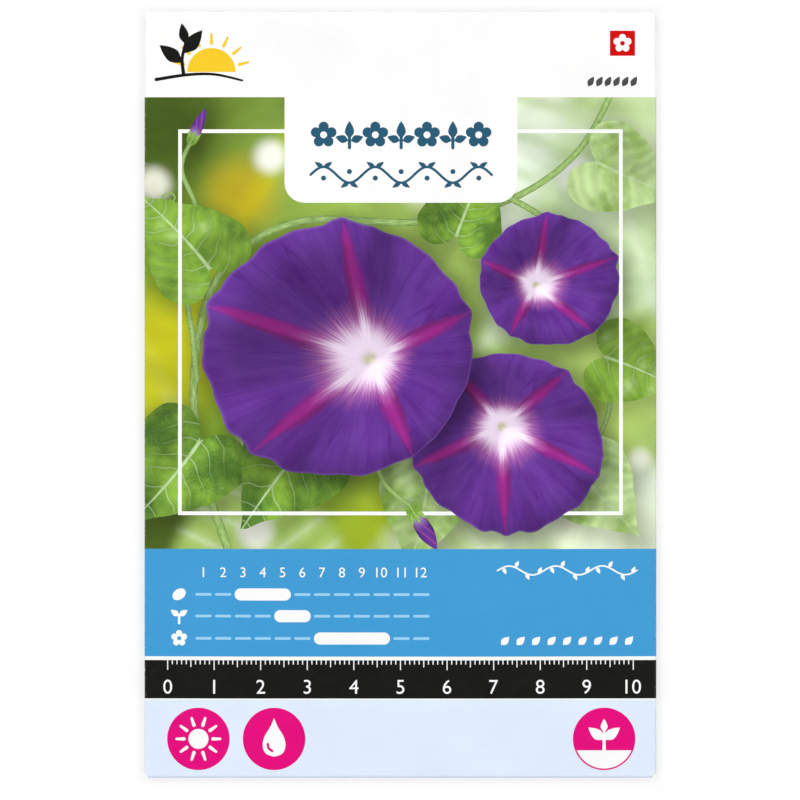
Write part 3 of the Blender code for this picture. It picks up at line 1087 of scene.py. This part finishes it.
def make_sheet_piece(name, sheet, chosen, art, light):
    """One piece of the folded sheet, closed: print outside, plain paper inside and at the cut edges."""
    used, back = np.unique(sheet.triangles[chosen], return_inverse=True)
    outer = back.reshape(-1, 3)
    count = len(used)
    outward = sheet.outward[used]
    half = outward * PAPER / 2
    points = np.concatenate([sheet.middle[used] + half, sheet.middle[used] - half]) * MM
    inner = outer[:, ::-1] + count
    edges = {(a, b) for face in outer.tolist() for a, b in zip(face, face[1:] + face[:1])}
    rim_edges = [(a, b) for a, b in edges if (b, a) not in edges]
    rims = [(b, a, a + count, b + count) for a, b in sorted(rim_edges)]
    mesh = bpy.data.meshes.new(name)
    mesh.from_pydata(points.tolist(), [], outer.tolist() + inner.tolist() + rims)
    inks = sorted({motifs[number].ink for number in np.unique(sheet.top[chosen])})
    for ink in inks + ["paper_plain"]:
        mesh.materials.append(materials[ink])
    slots = [inks.index(motifs[number].ink) for number in sheet.top[chosen]]
    slots += [len(inks)] * (len(inner) + len(rims))
    mesh.polygons.foreach_set("material_index", slots)
    plain = len(inner) * 3 + len(rims) * 4
    attribute = mesh.attributes.new("art", "FLOAT_VECTOR", "CORNER")
    attribute.data.foreach_set("vector", np.concatenate([art[chosen].ravel(), np.zeros(plain * 3)]))
    attribute = mesh.attributes.new("light", "FLOAT", "CORNER")
    attribute.data.foreach_set("value", np.concatenate([light[chosen].ravel(), np.ones(plain)]))
    if name == "packet_front":
        lay_out_bake(mesh, sheet.flat[used], outer, inner - count, len(rims))
    mesh.shade_smooth()
    corners = points[np.array(rims)]
    across = unit(np.cross(corners[:, 1] - corners[:, 0], corners[:, 3] - corners[:, 0]))
    normals = [outward[outer].reshape(-1, 3), -outward[outer[:, ::-1]].reshape(-1, 3), across.repeat(4, 0)]
    mesh.normals_split_custom_set(np.concatenate(normals).tolist())
    piece = add_object(name, mesh)
    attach(piece, "root")
    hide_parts("paper_envelope")


# Finishes


class Value:
    """What a node gives. A sum written with it adds the nodes that work the sum out."""

    def __init__(self, shader, socket):
        self.shader = shader
        self.socket = socket

    def __add__(self, other):
        return self.shader.math("ADD", self, other)

    def __sub__(self, other):
        return self.shader.math("SUBTRACT", self, other)

    def __rsub__(self, other):
        return self.shader.math("SUBTRACT", other, self)

    def __mul__(self, other):
        return self.shader.math("MULTIPLY", self, other)

    def __truediv__(self, other):
        return self.shader.math("DIVIDE", self, other)

    def __pow__(self, other):
        return self.shader.math("POWER", self, other)

    def __abs__(self):
        return self.shader.math("ABSOLUTE", self)

    __radd__ = __add__
    __rmul__ = __mul__

    def ease(self, low, high, to_low=0.0, to_high=1.0):
        """Rises smoothly from to_low to to_high between low and high."""
        inputs = dict(enumerate((self, low, high, to_low, to_high)))
        return self.shader.node("MapRange", inputs, interpolation_type="SMOOTHSTEP")

    def ramp(self, low, high, from_low=0.3, from_high=0.7):
        """Rises evenly from low to high as the value, such as a noise, goes from from_low to from_high."""
        return self.shader.node("MapRange", dict(enumerate((self, from_low, from_high, low, high))))


class Shader:
    """A material in the making, with what its nodes can give."""

    def __init__(self, name):
        self.material = bpy.data.materials.new(name)
        self.material.use_nodes = True
        self.tree = self.material.node_tree
        self.sockets = self.tree.nodes["Principled BSDF"].inputs
        self.place = self.node("TexCoord", output="Object")

    def feed(self, socket, value):
        if isinstance(value, Value):
            self.tree.links.new(value.socket, socket)
        elif socket.type == "RGBA":
            socket.default_value = (*value[:3], 1)
        else:
            socket.default_value = value

    def node(self, kind, inputs=None, output=0, **settings):
        made = self.tree.nodes.new("ShaderNode" + kind)
        for name, value in settings.items():
            setattr(made, name, value)
        for place, value in (inputs or {}).items():
            self.feed(made.inputs[place], value)
        return Value(self, made.outputs[output])

    def math(self, operation, *values):
        return self.node("Math", dict(enumerate(values)), operation=operation)

    def mix(self, share, first, second, blend="MIX"):
        return self.node("Mix", {0: share, 6: first, 7: second}, 2, data_type="RGBA", blend_type=blend)

    def shade(self, colour, light):
        """A colour made lighter or darker."""
        return self.mix(1.0, colour, self.node("CombineColor", {0: light, 1: light, 2: light}), "MULTIPLY")

    def join(self, x, y, z):
        return self.node("CombineXYZ", {0: x, 1: y, 2: z})

    def split(self, vector):
        return [Value(self, part) for part in self.node("SeparateXYZ", {0: vector}).socket.node.outputs]

    def noise(self, vector, scale, detail=2.0, roughness=0.5, distortion=0.0):
        names = ("Vector", "Scale", "Detail", "Roughness", "Distortion")
        return self.node("TexNoise", dict(zip(names, (vector, scale, detail, roughness, distortion))))

    def stretched(self, scale):
        """The place on the object, with its three measures scaled."""
        return self.node("Mapping", {"Vector": self.place, "Scale": scale})

    def art(self):
        """Where in its motif a point lies: two coordinates, the motif's tone, and all three as a colour."""
        art = self.node("Attribute", output="Vector", attribute_name="art")
        return *self.split(art), art

    def light(self):
        """The light that the motif is painted in."""
        return self.node("Attribute", output="Fac", attribute_name="light")

    def finish(self, colour, roughness, height=None, strength=0.0, depth=0.0):
        """Sets the colour, the roughness and a fine relief, and gives the material."""
        self.feed(self.sockets["Base Color"], colour)
        self.feed(self.sockets["Roughness"], roughness)
        if height is not None:
            relief = self.node("Bump", {"Height": height, "Strength": strength, "Distance": depth * MM})
            self.feed(self.sockets["Normal"], relief)
        return self.material


GLOSS = 0.35
COATING_INDEX = 1.30
FOLD_WEAR = 0.45 * MM
BARE_PAPER = (0.80, 0.79, 0.77)


def coated(shader, colour):
    """The coated paper under and over a print: a faint mottle, fine fibres, and ink worn off at the folds."""
    mottle = shader.noise(shader.place, 520, 4.0, 0.6)
    fibre = shader.noise(shader.stretched((1, 0.3, 1)), 5200, 2.0)
    x, y, _ = shader.split(shader.place)
    from_edge = shader.math("MINIMUM", HALF_WIDTH * MM - abs(x), HALF_HEIGHT * MM - abs(y))
    edge = from_edge.ease(FOLD_WEAR, 0.0)
    worn = edge * (shader.noise(shader.place, 1900, 3.0, 0.7).ease(0.52, 0.64) * 0.5)
    light = mottle.ramp(0.993, 1.007) + fibre.ramp(-0.007, 0.007)
    shader.sockets["IOR"].default_value = COATING_INDEX
    colour = shader.mix(worn, shader.shade(colour, light), BARE_PAPER)
    roughness = mottle.ramp(GLOSS - 0.05, GLOSS + 0.05) + worn * 0.3
    return shader.finish(colour, roughness, fibre + mottle * 1.6, 0.16, 0.03)


def flat_ink(name, colour):
    """A plain ink, whose solid areas vary very slightly in strength."""
    shader = Shader(name)
    return coated(shader, shader.shade(colour, shader.noise(shader.place, 60, 3.0, 0.6).ramp(0.975, 1.025)))


GARDEN_WARMTH = (1.15, 1.02, 0.55)


def garden_ink():
    """The blurred garden, whose colours are worked out at the points of the sheet."""
    shader = Shader("ink_garden")
    *_, art = shader.art()
    light = shader.light() * shader.noise(shader.place, 70, 2.0, 0.5, 0.6).ramp(0.84, 1.18)
    warm = shader.noise(shader.place, 34, 1.0).ramp(0.0, 0.30)
    colour = shader.mix(warm, art, shader.mix(1.0, art, GARDEN_WARMTH, "MULTIPLY"))
    return coated(shader, shader.shade(colour, light))


LEAF_DEEP = (0.060, 0.150, 0.014)
LEAF_MID = (0.20, 0.37, 0.035)
LEAF_MINT = (0.47, 0.63, 0.28)
LEAF_VEIN = (0.50, 0.66, 0.36)


def leaf_ink():
    """A leaf blade: its midrib, slanted side veins and the fine net between them."""
    shader = Shader("ink_leaf")
    x, y, tone, _ = shader.art()
    side = abs(x)
    spot = shader.join(x, y, tone)
    shift = tone + shader.noise(spot, 3.2, 3.0, 0.55).ramp(-0.22, 0.22)
    colour = shader.mix(shift.ease(0.05, 0.50), LEAF_DEEP, LEAF_MID)
    colour = shader.mix(shift.ease(0.45, 0.95), colour, LEAF_MINT)
    # Side veins leave the midrib slantwise, unevenly far apart, and curve up to the tip
    wander = shader.noise(shader.join(side, y, tone), 3.4, 1.0).ramp(-0.045, 0.045)
    rank = (y - side * (0.42 + side * 0.85) + wander) * 5.4
    from_vein = shader.math("PINGPONG", rank, 0.5)
    side_vein = from_vein.ease(0.060, 0.012) * side.ease(0.50, 0.05)
    midrib = (side / y.ramp(0.020, 0.006, 0.0, 1.0)).ease(1.25, 0.55)
    cells = shader.node("TexVoronoi", {"Vector": spot, "Scale": 34.0}, feature="DISTANCE_TO_EDGE")
    veins = shader.math("MAXIMUM", side_vein * 0.62, cells.ease(0.07, 0.0) * 0.17)
    colour = shader.mix(shader.math("MAXIMUM", midrib, veins) * 0.72, colour, LEAF_VEIN)
    quilted = from_vein.ease(0.0, 0.5, 0.3, 0.7).ramp(0.90, 1.08)
    dapple = shader.noise(shader.place, 95, 1.0, 0.5, 0.8).ramp(0.76, 1.22)
    return coated(shader, shader.shade(colour, shader.light() * (quilted * dapple)))


STEM_DARK = (0.17, 0.33, 0.06)
STEM_PALE = (0.42, 0.58, 0.22)


def stem_ink():
    """A round stem, lit along its upper side and faintly ribbed."""
    shader = Shader("ink_stem")
    along, across, *_ = shader.art()
    streak = shader.noise(shader.join(along * 30.0, across, 0.0), 3.0, 2.0)
    colour = shader.mix(streak.ramp(0.0, 1.0), STEM_DARK, STEM_PALE)
    return coated(shader, shader.shade(colour, (1.12 - across**2.0 * 0.55) * shader.light()))


PETAL = (0.108, 0.030, 0.255)
PETAL_DEEP = (0.076, 0.012, 0.185)
PETAL_LIGHT = (0.17, 0.062, 0.345)
PETAL_BAND = (0.245, 0.014, 0.195)
PETAL_BAND_CORE = (0.36, 0.030, 0.27)
PETAL_SHADE = (0.075, 0.010, 0.065)
PETAL_CREASE = (0.055, 0.008, 0.125)
PETAL_RIM = (0.26, 0.12, 0.46)
PETAL_PINK = (0.40, 0.12, 0.37)
THROAT = (0.86, 0.72, 0.88)
THROAT_HOLLOW = (0.52, 0.50, 0.30)


def bloom_ink():
    """A funnel flower: five magenta bands from throat to rim, fine rays, and a pale feathered throat."""
    shader = Shader("ink_bloom")
    x, y, tone, _ = shader.art()
    ring = shader.math("SQRT", x * x + y * y)
    around = shader.math("ARCTAN2", y, x)
    safe = shader.math("MAXIMUM", ring, 0.001)
    ray_x = x / safe
    ray_y = y / safe
    rays = shader.noise(shader.join(ray_x, ray_y, ring * 0.22), 9.0, 3.0, 0.6)
    fine_rays = shader.noise(shader.join(ray_x, ray_y, ring * 0.10), 44.0, 2.0, 0.6)
    broad = shader.noise(shader.join(x, y, tone), 2.6, 2.0)
    # How far along the ring the nearest band's middle is, and on which side of it
    signed = (shader.math("FRACT", around * (5 / TAU) + 5.5) - 0.5) * (TAU / 5) * ring
    half_width = 0.012 + shader.math("SINE", ring**0.75 * math.pi) * 0.088
    from_band = (abs(signed) + rays.ramp(-0.022, 0.022)) / half_width
    band = from_band.ease(1.15, 0.20) * ring.ease(1.03, 0.80)
    core = from_band.ease(0.62, 0.0)
    shaded_side = (signed / half_width).ease(0.05, 0.60) * band * ring.ease(0.95, 0.55)
    colour = shader.mix(broad.ramp(0.0, 1.0), PETAL, PETAL_DEEP)
    colour = shader.mix(rays.ramp(0.0, 0.34), colour, PETAL_LIGHT)
    colour = shader.mix(band, colour, PETAL_BAND)
    colour = shader.mix(shaded_side * 0.62, colour, PETAL_SHADE)
    colour = shader.mix(core * 0.30, colour, PETAL_BAND_CORE)
    # A few thin creases that run out across the petals
    creases = shader.noise(shader.join(ray_x, ray_y, ring * 0.06), 5.5, 0.0)
    crease = abs(creases - 0.5).ease(0.016, 0.0) * ring.ease(0.34, 0.62) * (1.0 - band)
    colour = shader.mix(crease * 0.42, colour, PETAL_CREASE)
    # The throat fades out along the rays, further along the bands
    fade = ring + fine_rays.ramp(-0.055, 0.055) - core * 0.07
    colour = shader.mix(fade.ease(0.46, 0.22), colour, PETAL_PINK)
    colour = shader.mix(fade.ease(0.32, 0.13), colour, THROAT)
    colour = shader.mix(ring.ease(0.0, 0.085), THROAT_HOLLOW, colour)
    # A paler, thin line along the rim, and faint grooves along the rays
    colour = shader.mix(ring.ease(0.975, 1.0, 0.0, 0.35), colour, PETAL_RIM)
    return coated(shader, shader.shade(colour, shader.light() * fine_rays.ramp(0.93, 1.06)))


BUD_FOOT = (0.52, 0.42, 0.62)
BUD_SEAM = (0.30, 0.055, 0.27)


def bud_ink():
    """A furled bud: pleats that wind round it, purple with reddish seams, and paler at its foot."""
    shader = Shader("ink_bud")
    x, y, *_ = shader.art()
    seam = shader.math("PINGPONG", y * 2.6 + x * 7.5, 0.5).ease(0.0, 0.20)
    colour = shader.mix(seam, BUD_SEAM, shader.mix(y.ease(0.05, 0.55), BUD_FOOT, PETAL))
    return coated(shader, shader.shade(colour, (1.18 - x**2.0 * 26.0) * shader.light()))


PAPER_INSIDE = (0.80, 0.79, 0.765)


def plain_paper():
    """The uncoated inside of the sheet and its cut edges."""
    shader = Shader("paper_plain")
    pulp = shader.noise(shader.place, 900, 5.0, 0.65)
    colour = shader.shade(PAPER_INSIDE, pulp.ramp(0.95, 1.04))
    return shader.finish(colour, pulp.ramp(0.78, 0.92), pulp, 0.3, 0.04)


GLUE_AMBER = (0.64, 0.53, 0.30)
GLUE_PALE = (0.78, 0.70, 0.48)
GLUE_BUBBLE = (0.86, 0.81, 0.66)


def dried_glue():
    """A thin strip of clear glue, dried slightly yellow and full of small bubbles."""
    shader = Shader("dried_glue")
    film = shader.noise(shader.place, 420, 3.0)
    bubbles = shader.node("TexVoronoi", {"Vector": shader.place, "Scale": 1300.0}).ease(0.05, 0.28)
    colour = shader.mix(film.ramp(0.0, 1.0), GLUE_AMBER, GLUE_PALE)
    shader.sockets["Transmission Weight"].default_value = 0.35
    colour = shader.mix(bubbles, GLUE_BUBBLE, colour)
    return shader.finish(colour, film.ramp(0.22, 0.38), bubbles, 0.4, 0.05)


SEED_BLACK = (0.016, 0.011, 0.008)
SEED_BROWN = (0.052, 0.033, 0.020)
SEED_DOWN = (0.17, 0.115, 0.070)


def seed_coat():
    """The dull, nearly black coat of a seed, with a fine brown down in patches."""
    shader = Shader("seed_coat")
    patch = shader.noise(shader.place, 420, 3.0, 0.6)
    down = shader.noise(shader.stretched((1, 1, 0.25)), 6500, 3.0, 0.7)
    colour = shader.mix(patch.ease(0.42, 0.62), SEED_BLACK, SEED_BROWN)
    colour = shader.mix(down.ease(0.55, 0.75, 0.0, 0.55), colour, SEED_DOWN)
    return shader.finish(colour, down.ramp(0.62, 0.86), down + patch, 0.5, 0.08)


TABLE_WHITE = (0.30, 0.30, 0.30)
TABLE_GLOW = 0.644


def table_top():
    """The matt white top of a light table, which glows from within and so keeps the shadows faint."""
    shader = Shader("table_top")
    grain = shader.noise(shader.place, 240, 3.0)
    shader.sockets["Emission Color"].default_value = (1, 1, 1, 1)
    shader.sockets["Emission Strength"].default_value = TABLE_GLOW
    return shader.finish(shader.shade(TABLE_WHITE, grain.ramp(0.997, 1.003)), grain.ramp(0.80, 0.88))


materials = {name: flat_ink(name, colour) for name, colour in INKS.items()}
for made in (garden_ink(), leaf_ink(), stem_ink(), bloom_ink(), bud_ink(), plain_paper()):
    materials[made.name] = made


# The packet, and the set round it


def build_packet():
    print_sheet()
    sheet = fold_sheet()
    art, light = corner_art(sheet)
    x, y = sheet.flat[sheet.triangles].mean(1).T
    on_front = (x > SPLIT_LEFT) & (x < SPLIT_RIGHT) & (np.abs(y) < SPLIT_END)
    make_sheet_piece("packet_front", sheet, on_front, art, light)
    make_sheet_piece("packet_back", sheet, ~on_front, art, light)


def finish_cad_parts():
    """The glue strips and the seeds stay as the CAD model has them, with their own materials."""
    glue = dried_glue()
    coat = seed_coat()
    for name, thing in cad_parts.items():
        if name != "paper_envelope":
            thing.data.materials.clear()
            thing.data.materials.append(coat if name.startswith("seed_") else glue)


TABLE_HALF = 3.0


def set_table():
    mesh = bpy.data.meshes.new("table")
    corners = rectangle(-TABLE_HALF, -TABLE_HALF, TABLE_HALF, TABLE_HALF)
    mesh.from_pydata([(x, y, 0) for x, y in corners], [], [(0, 1, 2, 3)])
    mesh.materials.append(table_top())
    add_object("table", mesh)


# The lights stand round the packet, in metres: from which side each shines, and its power
LIGHT_AWAY = 1.32
LIGHT_HEIGHT = 1.12
LIGHT_SIZE = 1.15
LIGHTS = {"window": (128, 15.5), "fill": (-40, 11.6), "left_fill": (218, 11.6), "right_fill": (44, 11.6)}
SKY_STRENGTH = 0.13


def set_lights():
    for name, (direction, power) in LIGHTS.items():
        lamp = bpy.data.lights.new(name, "AREA")
        lamp.shape = "DISK"
        lamp.size = LIGHT_SIZE
        lamp.energy = power
        thing = add_object(name, lamp)
        thing.location = (*(LIGHT_AWAY * way(direction)), LIGHT_HEIGHT)
        thing.rotation_euler = Vector(thing.location).to_track_quat("Z", "Y").to_euler()
    world = bpy.data.worlds.new("studio")
    world.use_nodes = True
    background = world.node_tree.nodes["Background"].inputs
    background["Color"].default_value = (1, 1, 1, 1)
    background["Strength"].default_value = SKY_STRENGTH
    bpy.context.scene.world = world
    bpy.context.scene.view_settings.view_transform = "Standard"


def set_camera():
    camera = bpy.data.cameras.new("camera")
    camera.lens = LENS
    camera.sensor_width = SENSOR
    camera.clip_start = 0.05
    thing = add_object("camera", camera)
    distance = PHOTO_WIDTH * LENS / SENSOR + FRONT_LEVEL
    thing.location = (PHOTO_CENTRE[0] * MM, PHOTO_CENTRE[1] * MM, distance * MM)
    bpy.context.scene.camera = thing


build_packet()
finish_cad_parts()
set_table()
set_lights()
set_camera()
